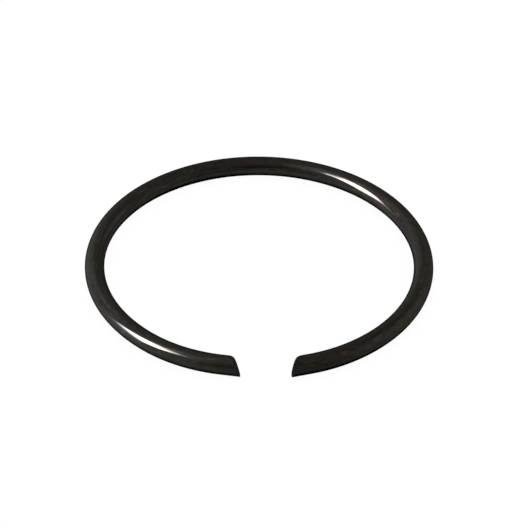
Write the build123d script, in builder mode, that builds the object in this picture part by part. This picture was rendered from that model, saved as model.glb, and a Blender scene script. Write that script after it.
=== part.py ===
from build123d import *
from math import acos, atan2, cos, degrees, hypot, pi, radians, sin, tan
import os

# A retaining ring coiled from one length of round spring wire. It lies flat on Z = 0 with its axis on Z,
# and the gap between its two sheared ends faces -Y. Lengths are in millimetres and angles in degrees.

# Driving dimensions
WIRE_DIAMETER = 2.6
INSIDE_DIAMETER = 41.1       # of the free ring
GAP = 7.5                    # between the ends, at the middle of the wire
CURL_RADIUS = 19.4           # of the wire's centreline where each end turns in
LEFT_CURL_START = 41.5       # from the middle of the gap, on the -X side
RIGHT_CURL_START = 26.5      # from the middle of the gap, on the +X side
TIP_LENGTH = 2               # of straight wire at each end, which the coiling rollers can't bend
SHEAR_LEAN = 26              # of each cut face, off square: its lower edge reaches into the gap
SHOULDER_RADIUS = 0.8        # of the edge that the blade draws over as it enters the wire
BLADE_TILT = 36              # of the blade's travel, away from straight down and outwards

# Derived sizes
WIRE_RADIUS = WIRE_DIAMETER / 2
COIL_RADIUS = INSIDE_DIAMETER / 2 + WIRE_RADIUS
GAP_DIRECTION = 270
SHOULDER_SWEEP = 90 - SHEAR_LEAN
# From the middle of a cut face back to where its shoulder starts, along the wire
SHOULDER_SETBACK = WIRE_RADIUS * tan(radians(SHEAR_LEAN)) + SHOULDER_RADIUS * tan(radians(SHOULDER_SWEEP / 2))
SPARE_LENGTH = 1.6           # of wire past each cut, which the blade takes away
BLADE_MARGIN = 1             # by which the blade is larger than the wire on every side
BLADE_REACH = WIRE_RADIUS + BLADE_MARGIN
BLADE_LENGTH = SHOULDER_SETBACK + SPARE_LENGTH + BLADE_REACH


def curl_sweep(curl_start, side):
    """Angle that one end's tighter arc turns through, so that its straight tip stops half a gap from the YZ plane."""
    start = radians(GAP_DIRECTION + side * curl_start)
    centre_x = (COIL_RADIUS - CURL_RADIUS) * cos(start)
    # Both ends are in front of the arc's centre, at -Y, where the angle from +X is more than half a turn.
    tip_end = 2 * pi - acos((side * GAP / 2 - centre_x) / hypot(CURL_RADIUS, TIP_LENGTH))
    tip_angle = atan2(TIP_LENGTH, CURL_RADIUS)
    return degrees(abs(tip_end - start) - tip_angle)


def blade_plane(tip, side):
    """Plane square to the blade's edge where a shoulder starts: X runs with the wire, Y against the blade."""
    up, along_wire = Vector(0, 0, 1), tip % 0
    inward = up.cross(along_wire) * -side
    against_blade = up * cos(radians(BLADE_TILT)) + inward * sin(radians(BLADE_TILT))
    shoulder_start = tip @ 0 + along_wire * (TIP_LENGTH - SHOULDER_SETBACK)
    return Plane(origin=shoulder_start, x_dir=along_wire, z_dir=along_wire.cross(against_blade))


# The wire's path: the coil, a tighter arc at each end of it, and a straight tip with spare wire to cut off.
with BuildLine(Plane.XY.offset(WIRE_RADIUS)) as wire_path:
    coil = CenterArc(
        center=(0, 0),
        radius=COIL_RADIUS,
        start_angle=GAP_DIRECTION + RIGHT_CURL_START,
        arc_size=360 - RIGHT_CURL_START - LEFT_CURL_START,
    )
    left_curl = JernArc(coil @ 1, coil % 1, CURL_RADIUS, curl_sweep(LEFT_CURL_START, -1))
    right_curl = JernArc(coil @ 0, -(coil % 0), CURL_RADIUS, -curl_sweep(RIGHT_CURL_START, 1))
    left_tip = Line(left_curl @ 1, left_curl @ 1 + (left_curl % 1) * (TIP_LENGTH + SPARE_LENGTH))
    right_tip = Line(right_curl @ 1, right_curl @ 1 + (right_curl % 1) * (TIP_LENGTH + SPARE_LENGTH))

# The ring: round wire swept along its path, then sheared to length at both ends.
with BuildPart() as snap_ring:
    with BuildSketch(Plane(origin=right_tip @ 1, z_dir=-(right_tip % 1))):
        Circle(WIRE_RADIUS)
    sweep(path=wire_path.wires()[0])
    for tip, side in ((left_tip, -1), (right_tip, 1)):
        with BuildSketch(blade_plane(tip, side)):
            with BuildLine():
                shoulder = JernArc((0, WIRE_RADIUS), (1, 0), SHOULDER_RADIUS, -SHOULDER_SWEEP)
                face = Line(shoulder @ 1, shoulder @ 1 + (shoulder % 1) * (WIRE_DIAMETER + BLADE_MARGIN))
                Polyline(
                    face @ 1,
                    (BLADE_LENGTH, (face @ 1).Y),
                    (BLADE_LENGTH, BLADE_REACH),
                    (0, BLADE_REACH),
                    shoulder @ 0,
                )
            make_face()
        extrude(amount=BLADE_REACH, both=True, mode=Mode.SUBTRACT)
snap_ring.part.label = "snap_ring"

os.makedirs("parts", exist_ok=True)
export_step(snap_ring.part, "parts/snap_ring.step")
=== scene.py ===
import logging
import math
from dataclasses import dataclass
from enum import Enum
from typing import Sequence

import bpy
import numpy as np
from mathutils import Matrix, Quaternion, Vector


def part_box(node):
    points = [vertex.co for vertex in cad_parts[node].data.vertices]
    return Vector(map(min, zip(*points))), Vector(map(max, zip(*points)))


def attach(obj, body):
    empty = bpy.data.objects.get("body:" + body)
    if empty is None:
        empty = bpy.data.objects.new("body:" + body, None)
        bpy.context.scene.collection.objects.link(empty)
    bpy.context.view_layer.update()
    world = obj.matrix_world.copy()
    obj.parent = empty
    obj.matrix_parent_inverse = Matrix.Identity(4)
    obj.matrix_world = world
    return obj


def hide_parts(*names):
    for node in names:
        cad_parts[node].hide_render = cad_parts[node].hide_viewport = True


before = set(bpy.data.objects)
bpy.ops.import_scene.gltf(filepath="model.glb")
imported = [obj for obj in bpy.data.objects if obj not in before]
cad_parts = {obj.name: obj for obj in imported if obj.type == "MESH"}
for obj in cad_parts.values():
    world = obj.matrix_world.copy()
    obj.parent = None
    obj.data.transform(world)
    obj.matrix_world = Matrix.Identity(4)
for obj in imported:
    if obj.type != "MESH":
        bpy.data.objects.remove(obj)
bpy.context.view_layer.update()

# A retaining ring coiled from blackened round spring wire, lying flat on a pale bench. Lengths are in metres
# and angles in degrees unless a name says otherwise.

log = logging.getLogger("snap_ring")

MM = 0.001
PER_METRE = 1000             # so that a pattern's fineness is given in lumps to the millimetre
QUARTER_TURN = math.radians(90)
WHOLE_TURN = math.radians(360)
GAP_BEARING = math.radians(270)    # of the middle of the gap, from +X
PLACE_ON_WIRE = "place_on_wire"
CUT_SURFACE = "cut_surface"
UNROLLED = "OFBake"          # the UV map that the whole surface is laid out in
NOISE_MIDDLE = 0.5
WHITE = (1.0, 1.0, 1.0, 1.0)
NODE_COLUMN = 12             # nodes to a column, where a tree is laid out
NODE_PITCH = (190, 170)
MIX_SHARE, MIX_FIRST, MIX_SECOND, MIX_RESULT = 0, 6, 7, 2    # a colour mix's sockets, whose names repeat

Colour = tuple[float, float, float]


# ---------------------------------------------------------------- node trees

@dataclass(frozen=True)
class Term:
    """One value that a node puts out, which ordinary arithmetic joins to others.

    Attributes:
        board: the tree that the value belongs to.
        socket: the output that carries it.
    """

    board: "Board"
    socket: bpy.types.NodeSocket

    def __add__(self, other: "Operand") -> "Term":
        """This value and another, added."""
        return self.board.work("ADD", self, other)

    def __radd__(self, other: "Operand") -> "Term":
        """This value and another, added."""
        return self.board.work("ADD", other, self)

    def __sub__(self, other: "Operand") -> "Term":
        """This value less another."""
        return self.board.work("SUBTRACT", self, other)

    def __rsub__(self, other: "Operand") -> "Term":
        """Another value less this one."""
        return self.board.work("SUBTRACT", other, self)

    def __mul__(self, other: "Operand") -> "Term":
        """This value times another."""
        return self.board.work("MULTIPLY", self, other)

    def __rmul__(self, other: "Operand") -> "Term":
        """This value times another."""
        return self.board.work("MULTIPLY", other, self)

    def __truediv__(self, other: "Operand") -> "Term":
        """This value divided by another."""
        return self.board.work("DIVIDE", self, other)

    def __neg__(self) -> "Term":
        """This value with its sign changed."""
        return self.board.work("MULTIPLY", self, -1.0)

    @property
    def is_vector(self) -> bool:
        """Whether the value has three parts."""
        return self.socket.type == "VECTOR"


Operand = Term | float | tuple[float, float, float]


@dataclass(frozen=True)
class Board:
    """A node tree that is being put together, for geometry or for a material.

    Attributes:
        tree: the tree itself.
    """

    tree: bpy.types.NodeTree

    def add(self, kind: str, **settings: object) -> bpy.types.Node:
        """Puts in one node.

        Args:
            kind: the node's type.
            settings: properties to set on it.

        Returns:
            The new node.
        """
        count = len(self.tree.nodes)
        node = self.tree.nodes.new(kind)
        node.location = (NODE_PITCH[0] * (count // NODE_COLUMN), -NODE_PITCH[1] * (count % NODE_COLUMN))
        for name, value in settings.items():
            setattr(node, name, value)
        return node

    def feed(self, socket: bpy.types.NodeSocket, value: object) -> None:
        """Links a term or an output into a socket, or sets the socket's own value.

        Args:
            socket: the input to feed.
            value: a term, an output, or a plain value.
        """
        if isinstance(value, Term):
            value = value.socket
        if isinstance(value, bpy.types.NodeSocket):
            self.tree.links.new(value, socket)
        else:
            socket.default_value = value

    def place(self, kind: str, inputs: dict[str, object], output: str | int = 0, **settings: object) -> Term:
        """Puts in one node and feeds its named inputs.

        Args:
            kind: the node's type.
            inputs: a value for each named input.
            output: the output to hand back.
            settings: properties to set on the node.

        Returns:
            The chosen output.
        """
        node = self.add(kind, **settings)
        for name, value in inputs.items():
            self.feed(node.inputs[name], value)
        return Term(self, node.outputs[output])

    def maths(self, operation: str, *values: Operand) -> Term:
        """One step of arithmetic on single numbers.

        Args:
            operation: what is done with them.
            values: the numbers, in the step's own order.

        Returns:
            The result.
        """
        node = self.add("ShaderNodeMath", operation=operation)
        for socket, value in zip(node.inputs, values):
            self.feed(socket, value)
        return Term(self, node.outputs[0])

    def vector_maths(self, operation: str, *values: Operand) -> Term:
        """One step of arithmetic on vectors.

        Args:
            operation: what is done with them.
            values: the vectors, in the step's own order; a plain number stands for three of it.

        Returns:
            The result, as one number where the step gives a product, length or distance.
        """
        node = self.add("ShaderNodeVectorMath", operation=operation)
        for socket, value in zip(node.inputs, values):
            plain = isinstance(value, (int, float))
            self.feed(socket, (value,) * 3 if plain else value)
        single = operation in ("DOT_PRODUCT", "LENGTH", "DISTANCE")
        return Term(self, node.outputs["Value" if single else "Vector"])

    def work(self, operation: str, *values: Operand) -> Term:
        """Arithmetic on numbers or vectors, whichever the values are."""
        wide = any(isinstance(v, tuple) or (isinstance(v, Term) and v.is_vector) for v in values)
        return self.vector_maths(operation, *values) if wide else self.maths(operation, *values)

    def sine(self, angle: Operand) -> Term:
        """The sine of an angle in radians."""
        return self.maths("SINE", angle)

    def cosine(self, angle: Operand) -> Term:
        """The cosine of an angle in radians."""
        return self.maths("COSINE", angle)

    def smaller(self, a: Operand, b: Operand) -> Term:
        """The smaller of two numbers."""
        return self.maths("MINIMUM", a, b)

    def larger(self, a: Operand, b: Operand) -> Term:
        """The larger of two numbers."""
        return self.maths("MAXIMUM", a, b)

    def within(self, value: Operand, low: Operand, high: Operand) -> Term:
        """A number held between two limits."""
        return self.larger(low, self.smaller(value, high))

    def beyond(self, value: Operand, limit: Operand) -> Term:
        """1 where a number is above a limit, and 0 elsewhere."""
        return self.maths("GREATER_THAN", value, limit)

    def between(self, share: Operand, at_none: Operand, at_all: Operand) -> Term:
        """A number part of the way from one value to another."""
        return at_none + share * (at_all - at_none)

    def join(self, x: Operand, y: Operand, z: Operand) -> Term:
        """A vector of three numbers."""
        return self.place("ShaderNodeCombineXYZ", {"X": x, "Y": y, "Z": z})

    def parts(self, vector: Term) -> tuple[Term, Term, Term]:
        """Takes a vector apart.

        Args:
            vector: the vector.

        Returns:
            Its three numbers.
        """
        node = self.add("ShaderNodeSeparateXYZ")
        self.feed(node.inputs[0], vector)
        return tuple(Term(self, node.outputs[axis]) for axis in "XYZ")

    def ease(self, value: Operand, low: float, high: float, at_low: float = 0.0, at_high: float = 1.0) -> Term:
        """A number carried smoothly from one value to another as it goes from low to high."""
        names = {"Value": value, "From Min": low, "From Max": high, "To Min": at_low, "To Max": at_high}
        return self.place("ShaderNodeMapRange", names, interpolation_type="SMOOTHSTEP")

    def noise(self, where: Term, fineness: float, detail: float = 2.0, rough: float = 0.5) -> Term:
        """Cloudy noise from 0 to 1.

        Args:
            where: the point that it is read at.
            fineness: how many lumps there are to one unit of that point.
            detail: how many finer layers are added.
            rough: how strong the finer layers are.

        Returns:
            The noise as a number.
        """
        names = {"Vector": where, "Scale": fineness, "Detail": detail, "Roughness": rough}
        return self.place("ShaderNodeTexNoise", names)

    def colours(self, share: Operand, first: Sequence[float] | Term, second: Sequence[float] | Term) -> Term:
        """Lays one colour over another.

        Args:
            share: how much of the second colour shows.
            first: the colour underneath.
            second: the colour laid over it.

        Returns:
            The mixed colour.
        """
        node = self.add("ShaderNodeMix", data_type="RGBA")
        self.feed(node.inputs[MIX_SHARE], share)
        for number, colour in ((MIX_FIRST, first), (MIX_SECOND, second)):
            self.feed(node.inputs[number], colour if isinstance(colour, Term) else (*colour, 1.0))
        return Term(self, node.outputs[MIX_RESULT])


@dataclass(frozen=True)
class Clouds:
    """Cloudy noise, and the share that a pattern makes of it.

    Attributes:
        fineness: how many lumps there are to one unit of the place that it is read at.
        detail: how many finer layers are added.
        rough: how strong the finer layers are.
        away: how far off it is read, so that no two patterns match.
        low: the noise at which the share is none.
        high: the noise at which the share is whole.
    """

    fineness: float = 1.0
    detail: float = 2.0
    rough: float = 0.5
    away: tuple[float, float, float] = (0.0, 0.0, 0.0)
    low: float = 0.0
    high: float = 1.0

    def read(self, board: Board, where: Term) -> Term:
        """The noise at a place, from 0 to 1."""
        return board.noise(where + self.away, self.fineness, self.detail, self.rough)

    def share(self, board: Board, where: Term) -> Term:
        """How far the noise at a place has come from low to high, from 0 to 1."""
        return board.ease(self.read(board, where), self.low, self.high)


# ---------------------------------------------------------------- finishes

@dataclass(frozen=True)
class Effect:
    """A pattern that a finish lays on a piece, kept as a node group of its own.

    Attributes:
        name: of the group.
    """

    name: str

    def write(self, board: Board, given: dict[str, Term]) -> dict[str, Term]:
        """Writes the pattern's nodes.

        Args:
            board: the group that they go in.
            given: the group's inputs by name.

        Returns:
            The group's outputs by name.
        """
        raise NotImplementedError

    def inputs(self) -> dict[str, float | None]:
        """The group's inputs, each with its usual value, or with none where it is a vector."""
        raise NotImplementedError

    def group(self) -> bpy.types.NodeTree:
        """Builds the group, once.

        Returns:
            The node group.
        """
        made = bpy.data.node_groups.get(self.name)
        if made:
            return made
        made = bpy.data.node_groups.new(self.name, "ShaderNodeTree")
        for name, value in self.inputs().items():
            kind = "NodeSocketVector" if value is None else "NodeSocketFloat"
            socket = made.interface.new_socket(name=name, in_out="INPUT", socket_type=kind)
            if value is not None:
                socket.default_value = value
        board = Board(made)
        entry = board.add("NodeGroupInput")
        results = self.write(board, {name: Term(board, entry.outputs[name]) for name in self.inputs()})
        for name in results:
            made.interface.new_socket(name=name, in_out="OUTPUT", socket_type="NodeSocketFloat")
        leave = board.add("NodeGroupOutput")
        for name, result in results.items():
            board.feed(leave.inputs[name], result)
        return made

    def lay(self, board: Board, **values: Operand) -> dict[str, Term]:
        """Places the pattern in a material.

        Args:
            board: the material's tree.
            values: a value for each input, with an underscore for each space of its name.

        Returns:
            The outputs by name.
        """
        node = board.add("ShaderNodeGroup", node_tree=self.group())
        for name, value in values.items():
            board.feed(node.inputs[name.replace("_", " ").capitalize()], value)
        return {socket.name: Term(board, socket) for socket in node.outputs}


@dataclass(frozen=True)
class DrawnLines(Effect):
    """Fine lines, longer streaks and short scuffs that drawing and coiling leave along a wire.

    Attributes:
        hairs_to_mm: how many hair lines there are to a millimetre.
        hair_length: how far a hair line or a streak runs, in millimetres.
        streaks_to_mm: how many streaks there are to a millimetre.
        scuffs_to_mm: how many scuffs there are to a millimetre across the wire.
        scuffs_along: how many scuffs there are to a millimetre along it.
        hair: the noise behind the hair lines.
        streak: the noise behind the streaks.
        scuff: the noise behind the scuffs.
    """

    name: str = "drawn lines"
    hairs_to_mm: float = 11.0
    hair_length: float = 9.0
    streaks_to_mm: float = 1.9
    scuffs_to_mm: float = 4.6
    scuffs_along: float = 0.55
    hair: Clouds = Clouds(detail=3.0, rough=0.6)
    streak: Clouds = Clouds(away=(40.0, 0.0, 0.0), low=0.36, high=0.64)
    scuff: Clouds = Clouds(detail=1.0, away=(90.0, 0.0, 0.0), low=0.60, high=0.72)

    def inputs(self) -> dict[str, float | None]:
        """The place on the wire in millimetres, how fine the hair lines are, and how long they run."""
        return {"Place": None, "Lines to mm": self.hairs_to_mm, "Length in mm": self.hair_length}

    def write(self, board: Board, given: dict[str, Term]) -> dict[str, Term]:
        """Writes the hair lines, streaks and scuffs.

        Args:
            board: the group that they go in.
            given: the group's inputs by name.

        Returns:
            A share from 0 to 1 for each.
        """
        along, outward, upward = board.parts(given["Place"])
        fine, run = given["Lines to mm"], along / given["Length in mm"]
        broad, short = self.streaks_to_mm, self.scuffs_to_mm
        return {
            "Hair": self.hair.read(board, board.join(run, outward * fine, upward * fine)),
            "Streak": self.streak.share(board, board.join(run, outward * broad, upward * broad)),
            "Scuff": self.scuff.share(board, board.join(along * self.scuffs_along, outward * short, upward * short)),
        }


@dataclass(frozen=True)
class TintPatches(Effect):
    """The mottle of a blackening film, with clouds where a temper tint shows through or oil has gathered.

    Attributes:
        patches_to_mm: how many patches there are to a millimetre.
        drawn_out: how many there are along the wire for one across it.
        straw: the noise behind the straw tint.
        plum: the noise behind the plum tint.
        oily: the noise behind the oil.
        mottle: the noise behind the mottle.
    """

    name: str = "tint patches"
    patches_to_mm: float = 0.42
    drawn_out: float = 0.6
    straw: Clouds = Clouds(1.2, away=(33.0, 5.0, 3.0), low=0.48, high=0.62)
    plum: Clouds = Clouds(1.0, away=(41.0, 6.0, 1.0), low=0.42, high=0.58)
    oily: Clouds = Clouds(2.1, 3.0, away=(5.0, 29.0, 11.0), low=0.35, high=0.62)
    mottle: Clouds = Clouds(5.5, 3.0, 0.65, away=(2.0, 7.0, 31.0))

    def inputs(self) -> dict[str, float | None]:
        """The place on the wire in millimetres, and how many patches there are to one."""
        return {"Place": None, "Patches to mm": self.patches_to_mm}

    def write(self, board: Board, given: dict[str, Term]) -> dict[str, Term]:
        """Writes the tints, the oil and the mottle.

        Args:
            board: the group that they go in.
            given: the group's inputs by name.

        Returns:
            A share from 0 to 1 for each.
        """
        along, outward, upward = board.parts(given["Place"])
        spot = board.join(along * self.drawn_out, outward, upward) * given["Patches to mm"]
        return {
            "Straw": self.straw.share(board, spot),
            "Plum": self.plum.share(board, spot),
            "Oily": self.oily.share(board, spot),
            "Mottle": self.mottle.read(board, spot),
        }


@dataclass(frozen=True)
class ShearMarks(Effect):
    """The face that a blade leaves: smoothed where it cut, broken where the wire tore away.

    Attributes:
        blade_tilt: of the blade's travel, away from straight down and outwards.
        wire_radius: in millimetres.
        tear_starts: how far above the middle of the face the tear starts, in wire radii.
        tear_whole: how far above it nothing is smooth any more.
        wandering: how far the edge of the tear wanders, in wire radii.
        drags_to_mm: how many drag lines there are to a millimetre.
        drags_along: how quickly they change along the blade's travel, to a millimetre.
        wander: the noise behind the edge of the tear.
        grain: the noise behind the crumbled grain.
        drag: the noise behind the drag lines.
    """

    name: str = "shear marks"
    blade_tilt: float = 36.0
    wire_radius: float = 1.3
    tear_starts: float = 0.18
    tear_whole: float = 0.02
    wandering: float = 0.5
    drags_to_mm: float = 14.0
    drags_along: float = 0.8
    wander: Clouds = Clouds(2.6, 3.0, away=(0.0, 0.0, 3.0))
    grain: Clouds = Clouds(9.0, 4.0, 0.7, away=(0.0, 0.0, 7.0))
    drag: Clouds = Clouds(1.0, 3.0, 0.6, away=(0.0, 0.0, 1.0))

    def inputs(self) -> dict[str, float | None]:
        """The place on the wire in millimetres, the blade's tilt in radians, and the wire's radius."""
        return {"Place": None, "Blade tilt": math.radians(self.blade_tilt), "Wire radius": self.wire_radius}

    def write(self, board: Board, given: dict[str, Term]) -> dict[str, Term]:
        """Writes the tear, its crumbled grain, and the blade's drag lines.

        Args:
            board: the group that they go in.
            given: the group's inputs by name.

        Returns:
            The torn share of the face, the grain and the drag lines, each from 0 to 1.
        """
        _, outward, upward = board.parts(given["Place"])
        tilt = given["Blade tilt"]
        against = upward * board.cosine(tilt) - outward * board.sine(tilt)
        across = outward * board.cosine(tilt) + upward * board.sine(tilt)
        wander = (self.wander.read(board, board.join(across, 0.0, 0.0)) - NOISE_MIDDLE) * self.wandering
        torn = board.ease(against / given["Wire radius"] + wander, self.tear_starts, self.tear_whole)
        grain = self.grain.read(board, board.join(across, against, 0.0))
        drag = self.drag.read(board, board.join(across * self.drags_to_mm, against * self.drags_along, 0.0))
        return {"Torn": torn, "Grain": grain, "Drag": drag}


@dataclass(frozen=True)
class BlackenedSpringSteel:
    """Drawn spring wire, tempered, blackened and oiled after it was coiled and cut.

    Attributes:
        black: what the blackened wire reflects head on.
        straw: the same where a straw temper tint shows through.
        plum: the same where a plum temper tint shows through.
        crust: the colour of the dull oxide on the cut faces.
        crumbling: how much darker or lighter the crust's grain is.
        streaking: how much darker or brighter a streak is.
        mottling: how much darker or brighter the film's fine mottle is.
        scuffing: how much brighter a scuff is.
        roughness: of the film under its oil.
        hair: how much rougher or smoother the hair lines are.
        burnished: how metallic a cut face is where the blade smoothed it.
        smoothed_roughness: of a cut face where the blade smoothed it.
        torn_roughness: of a cut face where the wire tore.
        oil: how much of the surface the oil covers.
        dried: how much less it covers in a dry patch.
        oil_roughness: of the oil.
        oil_ior: of the oil.
        hair_height: of the hair lines, as a share of the drawn depth.
        streak_height: of the streaks, as a share of the drawn depth.
        drag_height: of the blade's drag lines, as a share of the torn depth.
        drawn_bump: how strongly the drawn marks turn the light.
        drawn_depth: of the drawn marks.
        torn_bump: how strongly the marks on a cut face turn the light.
        torn_depth: of the marks on a cut face.
    """

    black: Colour = (0.0380, 0.0371, 0.0364)
    straw: Colour = (0.0410, 0.0390, 0.0298)
    plum: Colour = (0.0440, 0.0354, 0.0348)
    crust: Colour = (0.014, 0.013, 0.0118)
    crumbling: float = 2.4
    streaking: float = 0.2
    mottling: float = 1.4
    scuffing: float = 0.9
    roughness: float = 0.065
    hair: float = 0.015
    burnished: float = 0.2
    smoothed_roughness: float = 0.32
    torn_roughness: float = 0.55
    oil: float = 0.3
    dried: float = 0.25
    oil_roughness: float = 0.04
    oil_ior: float = 1.45
    hair_height: float = 0.6
    streak_height: float = 0.4
    drag_height: float = 0.3
    drawn_bump: float = 0.2
    drawn_depth: float = 0.001 * MM
    torn_bump: float = 0.6
    torn_depth: float = 0.02 * MM

    def material(self) -> bpy.types.Material:
        """Builds the material.

        Returns:
            The finished material.
        """
        made = bpy.data.materials.new("blackened spring steel")
        made.use_nodes = True
        made.node_tree.nodes.clear()
        board = Board(made.node_tree)
        place = board.place("ShaderNodeAttribute", {}, "Vector", attribute_name=PLACE_ON_WIRE) * PER_METRE
        cut = board.place("ShaderNodeAttribute", {}, "Fac", attribute_name=CUT_SURFACE)
        lines = DrawnLines().lay(board, place=place)
        patches = TintPatches().lay(board, place=place)
        shear = ShearMarks().lay(board, place=place)
        torn = cut * shear["Torn"]
        smoothed = cut - torn

        film = board.colours(patches["Plum"], self.black, self.plum)
        film = board.colours(patches["Straw"], film, self.straw)
        shine = board.between(lines["Streak"], 1 - self.streaking, 1 + self.streaking)
        shine = shine * (1 + (patches["Mottle"] - NOISE_MIDDLE) * self.mottling)
        film = board.vector_maths("MULTIPLY", film, shine * (1 + lines["Scuff"] * self.scuffing))
        crumbs = board.between(shear["Torn"], shear["Drag"], shear["Grain"]) - NOISE_MIDDLE
        crust = board.vector_maths("MULTIPLY", self.crust, 1 + crumbs * self.crumbling)
        colour = board.colours(cut, film, crust)
        metal = 1 - cut + smoothed * self.burnished
        drawn = board.between(lines["Hair"], self.roughness - self.hair, self.roughness + self.hair)
        sheared = board.between(shear["Torn"], self.smoothed_roughness, self.torn_roughness)
        rough = board.between(cut, drawn + lines["Scuff"] * self.hair, sheared)
        oil = self.oil * (1 - patches["Oily"] * self.dried) * (1 - cut)

        drawn_marks = (lines["Hair"] * self.hair_height + lines["Streak"] * self.streak_height) * (1 - cut)
        cut_marks = shear["Grain"] * torn + shear["Drag"] * smoothed * self.drag_height
        normal = board.place("ShaderNodeBump", {
            "Height": drawn_marks, "Strength": self.drawn_bump, "Distance": self.drawn_depth,
        }, "Normal")
        normal = board.place("ShaderNodeBump", {
            "Height": cut_marks, "Strength": self.torn_bump, "Distance": self.torn_depth, "Normal": normal,
        }, "Normal")
        shader = board.add("ShaderNodeBsdfPrincipled")
        for name, value in {
            "Base Color": colour, "Metallic": metal, "Roughness": rough, "Normal": normal, "Specular IOR Level": 0.0,
            "Coat Weight": oil, "Coat Roughness": self.oil_roughness, "Coat IOR": self.oil_ior,
        }.items():
            board.feed(shader.inputs[name], value)
        output = board.add("ShaderNodeOutputMaterial")
        board.feed(output.inputs["Surface"], shader.outputs["BSDF"])
        return made


@dataclass(frozen=True)
class PaleBench:
    """The plain pale top that the ring lies on: a light table, lit evenly from below.

    Attributes:
        colour: of the top.
        roughness: of the top.
        lit: how much of its brightness comes from below.
    """

    colour: Colour = (0.06, 0.06, 0.06)
    roughness: float = 0.9
    lit: float = 0.95

    def material(self) -> bpy.types.Material:
        """Builds the material.

        Returns:
            The finished material.
        """
        made = bpy.data.materials.new("pale bench top")
        made.use_nodes = True
        shader = made.node_tree.nodes["Principled BSDF"]
        shader.inputs["Base Color"].default_value = (*self.colour, 1.0)
        shader.inputs["Roughness"].default_value = self.roughness
        shader.inputs["Specular IOR Level"].default_value = 0.0
        shader.inputs["Emission Color"].default_value = WHITE
        shader.inputs["Emission Strength"].default_value = self.lit
        return made


# ---------------------------------------------------------------- the ring

class Side(Enum):
    """The two ends of the wire, each with the sign of its X."""

    LEFT = -1
    RIGHT = 1


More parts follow.
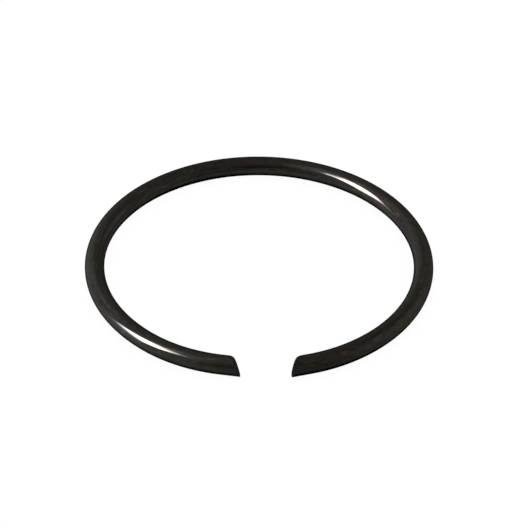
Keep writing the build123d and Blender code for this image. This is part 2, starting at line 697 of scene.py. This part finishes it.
@dataclass
class WireRing:
    """The ring: one length of round wire, coiled, curled in at both ends and sheared off.

    Attributes:
        wire_diameter: of the wire.
        inside_diameter: of the free ring.
        gap: between the ends, at the middle of the wire.
        curl_radius: of the wire's centreline where each end turns in.
        left_curl_start: where the left curl starts, from the middle of the gap.
        right_curl_start: where the right curl starts, from the middle of the gap.
        tip_length: of straight wire at each end.
        shear_lean: of each cut face, off square.
        shoulder_radius: of the edge that the blade draws over.
        blade_tilt: of the blade's travel, away from straight down and outwards.
        rim_radius: of the small round where a cut face meets the wire.
        tear_depth: of the hollows in the torn part of a cut face.
        tear_starts: how far above the middle of the face they start, in wire radii.
        tear_whole: how far above it they are at their full depth.
        tear_least: the least of their depth that is torn out wherever it is full.
        tear_grain: the noise behind them.
        round_steps: facets round the wire.
        run_rows: facets along the wire between its tips, for both halves.
        tip_rows: facets along each tip.
        rim_rows: facets over each rim.
        face_rows: rings across each cut face.
        weld: the distance under which two points become one.
        map_strips: strips that the wire is cut into in its UV map.
        map_margin: round each of them.
        map_seam: facets from the outer side of the wire down to the seam between the map's edges.
    """

    wire_diameter: float
    inside_diameter: float
    gap: float = 7.5 * MM
    curl_radius: float = 19.4 * MM
    left_curl_start: float = 41.5
    right_curl_start: float = 26.5
    tip_length: float = 2.0 * MM
    shear_lean: float = 26.0
    shoulder_radius: float = 0.8 * MM
    blade_tilt: float = 36.0
    rim_radius: float = 0.03 * MM
    tear_depth: float = 0.04 * MM
    tear_starts: float = 0.15
    tear_whole: float = -0.05
    tear_least: float = 0.3
    tear_grain: Clouds = Clouds(3.5 * PER_METRE, 3.0, 0.6)
    round_steps: int = 112
    run_rows: int = 560
    tip_rows: int = 48
    rim_rows: int = 3
    face_rows: int = 24
    weld: float = 0.0005 * MM
    map_strips: int = 4
    map_margin: float = 0.3 * MM
    map_seam: int = 42

    @classmethod
    def fitted(cls) -> "WireRing":
        """Takes the wire's and the coil's diameters from the CAD node.

        Returns:
            A ring of that size.
        """
        low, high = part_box("snap_ring")
        wire = high[2] - low[2]
        return cls(wire_diameter=wire, inside_diameter=high[0] - low[0] - 2 * wire)

    def tree(self) -> tuple[bpy.types.NodeTree, dict[str, object]]:
        """Writes the geometry tree that coils, cuts and finishes the wire.

        Returns:
            The tree, and the value for each of its inputs by the input's identifier.
        """
        tree = bpy.data.node_groups.new("coiled and cut wire", "GeometryNodeTree")
        tree.interface.new_socket(name="Geometry", in_out="OUTPUT", socket_type="NodeSocketGeometry")
        lengths = {
            "Wire Radius": self.wire_diameter / 2,
            "Coil Radius": (self.inside_diameter + self.wire_diameter) / 2,
            "Gap": self.gap,
            "Curl Radius": self.curl_radius,
            "Tip Length": self.tip_length,
            "Shoulder Radius": self.shoulder_radius,
            "Rim Radius": self.rim_radius,
            "Tear Depth": self.tear_depth,
        }
        angles = {
            "Left Curl Start": self.left_curl_start,
            "Right Curl Start": self.right_curl_start,
            "Shear Lean": self.shear_lean,
            "Blade Tilt": self.blade_tilt,
        }
        counts = {
            "Round Steps": self.round_steps,
            "Run Rows": self.run_rows,
            "Tip Rows": self.tip_rows,
            "Rim Rows": self.rim_rows,
            "Face Rows": self.face_rows,
        }
        values: dict[str, object] = {}
        for kind, sizes in (
            ("NodeSocketFloat", lengths),
            ("NodeSocketFloat", {name: math.radians(angle) for name, angle in angles.items()}),
            ("NodeSocketInt", counts),
        ):
            for name, value in sizes.items():
                socket = tree.interface.new_socket(name=name, in_out="INPUT", socket_type=kind)
                values[socket.identifier] = value
        finish = tree.interface.new_socket(name="Finish", in_out="INPUT", socket_type="NodeSocketMaterial")
        values[finish.identifier] = BlackenedSpringSteel().material()
        board = Board(tree)
        self.write(board)
        return tree, values

    def write(self, board: Board) -> None:
        """Writes the tree's nodes.

        Args:
            board: the tree, with its inputs and output already named.
        """
        given = board.add("NodeGroupInput")
        size = {socket.name: Term(board, socket) for socket in given.outputs if socket.name}
        wire, coil, curl = size["Wire Radius"], size["Coil Radius"], size["Curl Radius"]
        tip, rim = size["Tip Length"], size["Rim Radius"]

        # Rows are counted from each end inwards: the cut face, then its rim, the straight tip and the run.
        index = board.place("GeometryNodeInputIndex", {})
        ahead = size["Face Rows"] + size["Rim Rows"]
        middle = ahead + size["Tip Rows"] + size["Run Rows"] / 2
        row = board.smaller(index, middle * 2 - index)
        side = 1 - 2 * board.beyond(index, middle)

        curls = {}
        for end in Side:
            start = size[f"{end.name.capitalize()} Curl Start"]
            from_x = GAP_BEARING + end.value * start
            centre_x = (coil - curl) * board.cosine(from_x)
            reach = board.maths("SQRT", curl * curl + tip * tip)
            tip_end = WHOLE_TURN - board.maths("ARCCOSINE", (end.value * size["Gap"] / 2 - centre_x) / reach)
            turned = tip_end + end.value * board.maths("ARCTAN2", tip, curl)
            curls[end] = (from_x, turned, end.value * (from_x - turned))
        coil_turn = WHOLE_TURN + curls[Side.LEFT][0] - curls[Side.RIGHT][0]
        half = tip + curl * (curls[Side.LEFT][2] + curls[Side.RIGHT][2]) / 2 + coil * coil_turn / 2
        on_left = board.beyond(0, side)
        start, turned, sweep = (
            board.between(on_left, right, left) for right, left in zip(curls[Side.RIGHT], curls[Side.LEFT])
        )

        fine = tip / size["Tip Rows"]
        coarse = (half - tip) * 2 / size["Run Rows"]
        past_rim = row - ahead
        inward = past_rim * fine + board.larger(past_rim - size["Tip Rows"], 0.0) * (coarse - fine)
        on_curl = board.within(inward - tip, 0.0, curl * sweep)
        on_coil = board.larger(inward - tip - curl * sweep, 0.0)
        bearing = turned + side * (on_curl / curl + on_coil / coil)
        coiled = board.beyond(inward, tip + curl * sweep)
        outward = board.join(board.cosine(bearing), board.sine(bearing), 0.0)
        gapward = board.join(side * board.sine(bearing), -side * board.cosine(bearing), 0.0)
        curl_centre = board.join(board.cosine(start), board.sine(start), 0.0) * (coil - curl) * (1 - coiled)
        spot = curl_centre + outward * board.between(coiled, curl, coil)
        spot = spot + gapward * (tip - board.smaller(inward, tip)) + board.join(0.0, 0.0, wire)

        # The wire narrows over the rim and then to a point in the middle of its cut face.
        over_rim = board.within((row - size["Face Rows"]) / size["Rim Rows"], 0.0, 1.0) * QUARTER_TURN
        width = 1 - rim / wire * (1 - board.sine(over_rim))
        width = width * board.smaller(row / size["Face Rows"], 1.0)
        drop = rim * (1 - board.cosine(over_rim))

        line = board.place("GeometryNodeCurvePrimitiveLine", {})
        rows = board.place(
            "GeometryNodeResampleCurve", {"Curve": line, "Count": middle * 2 + 1}, mode="COUNT"
        )
        path = board.place("GeometryNodeSetPosition", {"Geometry": rows, "Position": spot})
        path = board.place("GeometryNodeSetCurveNormal", {"Curve": path}, mode="Z_UP")
        kept = board.add("GeometryNodeCaptureAttribute", domain="POINT")
        carried = {
            "Centre": ("VECTOR", spot), "Outward": ("VECTOR", outward), "Gapward": ("VECTOR", gapward),
            "Inward": ("FLOAT", inward), "Drop": ("FLOAT", drop), "Width": ("FLOAT", width),
            "Along": ("FLOAT", board.between(on_left, inward, half * 2 - inward)),
            "Over Rim": ("FLOAT", over_rim),
        }
        for name, (kind, value) in carried.items():
            kept.capture_items.new(kind, name)
            board.feed(kept.inputs[name], value)
        board.feed(kept.inputs["Geometry"], path)
        at = {name: Term(board, kept.outputs[name]) for name in carried}
        circle = board.place("GeometryNodeCurvePrimitiveCircle", {"Resolution": size["Round Steps"], "Radius": wire})
        tube = board.place("GeometryNodeCurveToMesh", {
            "Curve": kept.outputs["Geometry"], "Profile Curve": circle, "Scale": at["Width"],
        })

        # The blade's cut: a face that leans back from the gap and ends in a shoulder where the blade went in.
        arm = board.place("GeometryNodeInputPosition", {}) - at["Centre"]
        out = board.vector_maths("DOT_PRODUCT", arm, at["Outward"])
        up = board.parts(arm)[2]
        tilt, lean, shoulder = size["Blade Tilt"], size["Shear Lean"], size["Shoulder Radius"]
        against = up * board.cosine(tilt) - out * board.sine(tilt)
        slope = board.maths("TANGENT", lean)
        turn = (QUARTER_TURN - lean) / 2
        back = -wire * slope - shoulder * board.maths("TANGENT", turn)
        middle_height = wire - shoulder
        above = against - middle_height
        face = -against * slope
        rolled = back + board.maths("SQRT", board.larger(shoulder * shoulder - above * above, 0.0))
        on_shoulder = board.beyond(above, shoulder * board.sine(lean))
        cut = board.between(on_shoulder, face, rolled)
        on_face = 1 - at["Over Rim"] / QUARTER_TURN
        crumble = self.tear_least + self.tear_grain.read(board, board.join(out, up, 0.0))
        broken = board.ease(against / wire, self.tear_starts, self.tear_whole) * on_face
        cut = cut - broken * crumble * size["Tear Depth"]
        share = board.within(at["Inward"] / tip, 0.0, 1.0)
        target = (1 - share) * (cut - at["Drop"]) - share * tip
        shift = target + board.smaller(at["Inward"], tip)
        mesh = board.place("GeometryNodeSetPosition", {"Geometry": tube, "Offset": at["Gapward"] * shift})

        on_cut = board.smaller(on_face * size["Rim Rows"], 1.0)
        place = board.join(at["Along"] - shift, out, up)
        for name, kind, value in ((PLACE_ON_WIRE, "FLOAT_VECTOR", place), (CUT_SURFACE, "FLOAT", on_cut)):
            mesh = board.place(
                "GeometryNodeStoreNamedAttribute", {"Geometry": mesh, "Name": name, "Value": value},
                data_type=kind, domain="POINT",
            )
        mesh = board.place("GeometryNodeMergeByDistance", {"Geometry": mesh, "Distance": self.weld})
        mesh = board.place("GeometryNodeSetShadeSmooth", {"Geometry": mesh, "Shade Smooth": True})
        mesh = board.place("GeometryNodeRealizeInstances", {"Geometry": mesh})
        mesh = board.place("GeometryNodeSetMaterial", {"Geometry": mesh, "Material": size["Finish"]})
        output = board.add("NodeGroupOutput")
        board.feed(output.inputs["Geometry"], mesh)

    def unroll(self, mesh: bpy.types.Mesh) -> None:
        """Lays the surface out flat in a UV map: strips of the wire, with the two cut faces below them.

        Args:
            mesh: the ring's mesh.
        """
        count = len(mesh.vertices)
        place, cut = np.empty(count * 3, np.float32), np.empty(count, np.float32)
        mesh.attributes[PLACE_ON_WIRE].data.foreach_get("vector", place)
        mesh.attributes[CUT_SURFACE].data.foreach_get("value", cut)
        along, outward, upward = place.reshape(-1, 3).T
        corner = np.empty(len(mesh.loops), np.int32)
        mesh.loops.foreach_get("vertex_index", corner)
        sides = np.array([face.loop_total for face in mesh.polygons])
        first = np.concatenate([[0], np.cumsum(sides)[:-1]])
        face = np.repeat(np.arange(len(sides)), sides)

        seam = WHOLE_TURN * (self.map_seam + 0.5) / self.round_steps
        turn = ((np.arctan2(upward, outward) + seam) / WHOLE_TURN % 1)[corner]
        least = np.minimum.reduceat(turn, first)[face]
        turn += (np.maximum.reduceat(turn, first)[face] - least > 0.5) & (turn < 0.5)
        length = np.ptp(along) / self.map_strips
        middle = np.add.reduceat(along[corner], first) / sides
        strip = np.clip((middle - along.min()) // length, 0, self.map_strips - 1)[face]

        radius, margin = self.wire_diameter / 2, self.map_margin
        side = length + 2 * margin
        band = 2 * (radius + margin)
        pitch = (side - band) / self.map_strips
        across = margin + along[corner] - along.min() - strip * length
        height = band + strip * pitch + margin + turn * (pitch - 2 * margin)
        on_face = (np.add.reduceat(cut[corner], first) / sides > 0.5)[face]
        centre = band * np.where(middle[face] < np.ptp(along) / 2, 0.5, 1.5)
        across = np.where(on_face, centre + outward[corner], across)
        height = np.where(on_face, band / 2 + upward[corner], height)
        layer = mesh.uv_layers.new(name=UNROLLED)
        layer.data.foreach_set("uv", (np.stack([across, height], 1) / side).astype(np.float32).ravel())

    def build(self) -> bpy.types.Object:
        """Makes the ring as a plain mesh that stands for its CAD node.

        Returns:
            The finished piece.
        """
        tree, values = self.tree()
        carrier = bpy.data.objects.new("wire_ring_tree", bpy.data.meshes.new("wire_ring_tree"))
        bpy.context.scene.collection.objects.link(carrier)
        modifier = carrier.modifiers.new("coiled wire", "NODES")
        modifier.node_group = tree
        for identifier, value in values.items():
            modifier[identifier] = value
        graph = bpy.context.evaluated_depsgraph_get()
        mesh = bpy.data.meshes.new_from_object(
            carrier.evaluated_get(graph), preserve_all_data_layers=True, depsgraph=graph
        )
        carrier.modifiers.remove(modifier)
        bpy.data.objects.remove(carrier)
        mesh.name = "wire_ring"
        self.unroll(mesh)
        piece = bpy.data.objects.new("wire_ring", mesh)
        bpy.context.scene.collection.objects.link(piece)
        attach(piece, "root")
        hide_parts("snap_ring")
        return piece


# ---------------------------------------------------------------- the studio

WARM: Colour = (1.045, 1.0, 0.90)      # the room's own light, from tan walls
DAYLIGHT: Colour = (0.97, 1.0, 1.04)   # what comes off the left wall from the softbox


@dataclass(frozen=True)
class Glow:
    """A soft part of the room that is brighter or darker than the rest, as the ring's gloss sees it.

    Attributes:
        azimuth: of its middle, from the line of sight, to the right.
        elevation: of its middle.
        full: half its width, out to which it is even.
        gone: half its width, where it ends.
        strength: how much brighter it is.
        tint: of its light.
    """

    azimuth: float
    elevation: float
    full: float
    gone: float
    strength: float
    tint: Colour = WARM


@dataclass(frozen=True)
class Softbox:
    """The large softbox whose reflection runs along the wire: bright in the middle, fading to its edges.

    Attributes:
        azimuth: of its middle, from the line of sight, to the right.
        elevation: of its middle.
        lean: by which its stand leans it to one side.
        distance: from the ring.
        width: of its face.
        height: of its face.
        even: width of the strip down its middle that is evenly bright across.
        radiance: of the middle of its face.
    """

    azimuth: float = -101.8
    elevation: float = 33.6
    lean: float = 19.0
    distance: float = 1.2
    width: float = 0.65
    height: float = 1.26
    even: float = 0.33
    radiance: float = 40.0

    def cloth(self, tree: bpy.types.NodeTree) -> None:
        """Fades the light from the middle of the cloth to its edges.

        Args:
            tree: the light's own node tree.
        """
        tree.nodes.clear()
        board = Board(tree)
        across, upward, _ = board.parts(board.place("ShaderNodeNewGeometry", {}, "Parametric"))
        aside = board.maths("ABSOLUTE", across - 0.5) * self.width
        above = board.maths("ABSOLUTE", upward - 0.5) * self.height
        light = board.ease(aside, self.even / 2, self.width / 2, 1.0, 0.0)
        light = light * board.ease(above, 0.0, self.height / 2, 1.0, 0.0)
        lamp = board.place("ShaderNodeEmission", {"Strength": light})
        board.feed(board.add("ShaderNodeOutputLight").inputs["Surface"], lamp)

    def hang(self, away: Vector, target: Vector) -> None:
        """Puts the light up.

        Args:
            away: the direction in which it stands from the ring.
            target: the point that it faces.
        """
        data = bpy.data.lights.new("softbox", "AREA")
        data.shape = "RECTANGLE"
        data.size, data.size_y = self.width, self.height
        data.energy = self.radiance * math.pi * self.width * self.height
        data.use_nodes = True
        self.cloth(data.node_tree)
        light = bpy.data.objects.new("softbox", data)
        light.location = target + away * self.distance
        light.rotation_mode = "QUATERNION"
        lean = Quaternion((0, 0, 1), -math.radians(self.lean))
        light.rotation_quaternion = (-away).to_track_quat("-Z", "Y") @ lean
        light.visible_diffuse = False
        light.visible_camera = False
        bpy.context.scene.collection.objects.link(light)


@dataclass
class Studio:
    """The bench, lights and camera.

    Attributes:
        height: of the point that the camera looks at, on the ring's axis.
        distance: from the camera to that point.
        elevation: of the camera.
        swing: of the camera, to the left of straight in front.
        roll: of the camera about its line of sight.
        lens: focal length, in millimetres.
        sensor: width of the sensor, in millimetres.
        clip: the nearest and farthest that the camera sees.
        shift: of the picture, as shares of its width.
        bench_size: of the bench top.
        room: brightness of the room that lights the bench.
        gloss_room: brightness of the room in the ring's gloss.
        glows: the parts of the room that are brighter or darker than that.
        softbox: the key light.
    """

    height: float
    distance: float = 0.4411
    elevation: float = 38.06
    swing: float = 2.55
    roll: float = 0.40565
    lens: float = 226.27
    sensor: float = 36.0
    clip: tuple[float, float] = (0.01, 20.0)
    shift: tuple[float, float] = (0.00928, -0.00105)
    bench_size: float = 6.0
    room: float = 1.0
    gloss_room: float = 0.265
    glows: tuple[Glow, ...] = (
        Glow(-80, 23, 25, 75, 0.375, DAYLIGHT),   # the wall behind the softbox
        Glow(-90, 8, 0, 22, 0.48, DAYLIGHT),      # a white card below it
        Glow(-108, 53, 0, 31, 0.41, DAYLIGHT),    # the ceiling above it
        Glow(-128, -45, 0, 74, 0.20, DAYLIGHT),   # the floor that it lights
        Glow(88, 24, 0, 46, 0.115, DAYLIGHT),     # the wall on the right
        Glow(95, 5, 10, 80, 0.04),                # the floor and ceiling by that wall
        Glow(-50, 15, 5, 45, 0.04),               # a shelf at the back on the left
        Glow(14, 34, 3, 14, 0.06),                # a small window at the back
        Glow(-11, -40, 0, 85, -0.26),             # the dark floor beyond the bench
        Glow(52, -86, 11, 53, -0.27),             # the dark floor under the bench
        Glow(-178, 24, 8, 22, -0.12),             # the camera on its stand
    )
    softbox: Softbox = Softbox()

    @property
    def target(self) -> Vector:
        """The point that the camera looks at."""
        return Vector((0.0, 0.0, self.height))

    def toward(self, azimuth: float, elevation: float) -> Vector:
        """The direction of something in the room.

        Args:
            azimuth: from the line of sight, to the right.
            elevation: above the bench.

        Returns:
            A unit vector.
        """
        bearing, rise = math.radians(azimuth + self.swing), math.radians(elevation)
        return Vector((math.sin(bearing) * math.cos(rise), math.cos(bearing) * math.cos(rise), math.sin(rise)))

    def camera(self) -> None:
        """Sets up the camera."""
        data = bpy.data.cameras.new("camera")
        data.lens, data.sensor_width = self.lens, self.sensor
        data.shift_x, data.shift_y = self.shift
        data.clip_start, data.clip_end = self.clip
        back = self.toward(180, self.elevation)
        made = bpy.data.objects.new("camera", data)
        made.location = self.target + back * self.distance
        made.rotation_mode = "QUATERNION"
        roll = Quaternion((0, 0, 1), math.radians(self.roll))
        made.rotation_quaternion = (-back).to_track_quat("-Z", "Y") @ roll
        bpy.context.scene.collection.objects.link(made)
        bpy.context.scene.camera = made

    def bench_top(self) -> None:
        """Lays the bench top under the ring."""
        half = self.bench_size / 2
        mesh = bpy.data.meshes.new("bench_top")
        corners = [(-half, -half, 0), (half, -half, 0), (half, half, 0), (-half, half, 0)]
        mesh.from_pydata(corners, [], [(0, 1, 2, 3)])
        mesh.materials.append(PaleBench().material())
        floor = bpy.data.objects.new("bench_top", mesh)
        bpy.context.scene.collection.objects.link(floor)
        floor.visible_glossy = False

    def surroundings(self) -> None:
        """Lights the room: even and bright for the bench, dim and one-sided in the ring's gloss."""
        world = bpy.data.worlds.new("studio")
        world.use_nodes = True
        world.node_tree.nodes.clear()
        bpy.context.scene.world = world
        board = Board(world.node_tree)
        facing = board.place("ShaderNodeTexCoord", {}, "Generated")
        light = board.join(*(self.gloss_room * part for part in WARM))
        for glow in self.glows:
            nearness = board.vector_maths("DOT_PRODUCT", facing, tuple(self.toward(glow.azimuth, glow.elevation)))
            gone, full = math.cos(math.radians(glow.gone)), math.cos(math.radians(glow.full))
            light = light + board.ease(nearness, gone, full) * tuple(glow.strength * part for part in glow.tint)
        glossy = board.place("ShaderNodeLightPath", {}, "Is Glossy Ray")
        light = board.between(glossy, self.room, board.vector_maths("MAXIMUM", light, 0.0))
        background = board.add("ShaderNodeBackground")
        board.feed(background.inputs["Color"], light)
        output = board.add("ShaderNodeOutputWorld")
        board.feed(output.inputs["Surface"], background.outputs[0])

    def build(self) -> None:
        """Sets the whole studio up."""
        self.bench_top()
        self.softbox.hang(self.toward(self.softbox.azimuth, self.softbox.elevation), self.target)
        self.surroundings()
        self.camera()
        bpy.context.scene.view_settings.view_transform = "Standard"


def main() -> None:
    """Builds the ring and its studio, and reports each piece."""
    logging.basicConfig(level=logging.INFO, format="%(name)s: %(message)s")
    ring = WireRing.fitted()
    piece = ring.build()
    log.info("%s: %d faces", piece.name, len(piece.data.polygons))
    Studio(height=ring.wire_diameter / 2).build()


if __name__ == "__main__":
    main()
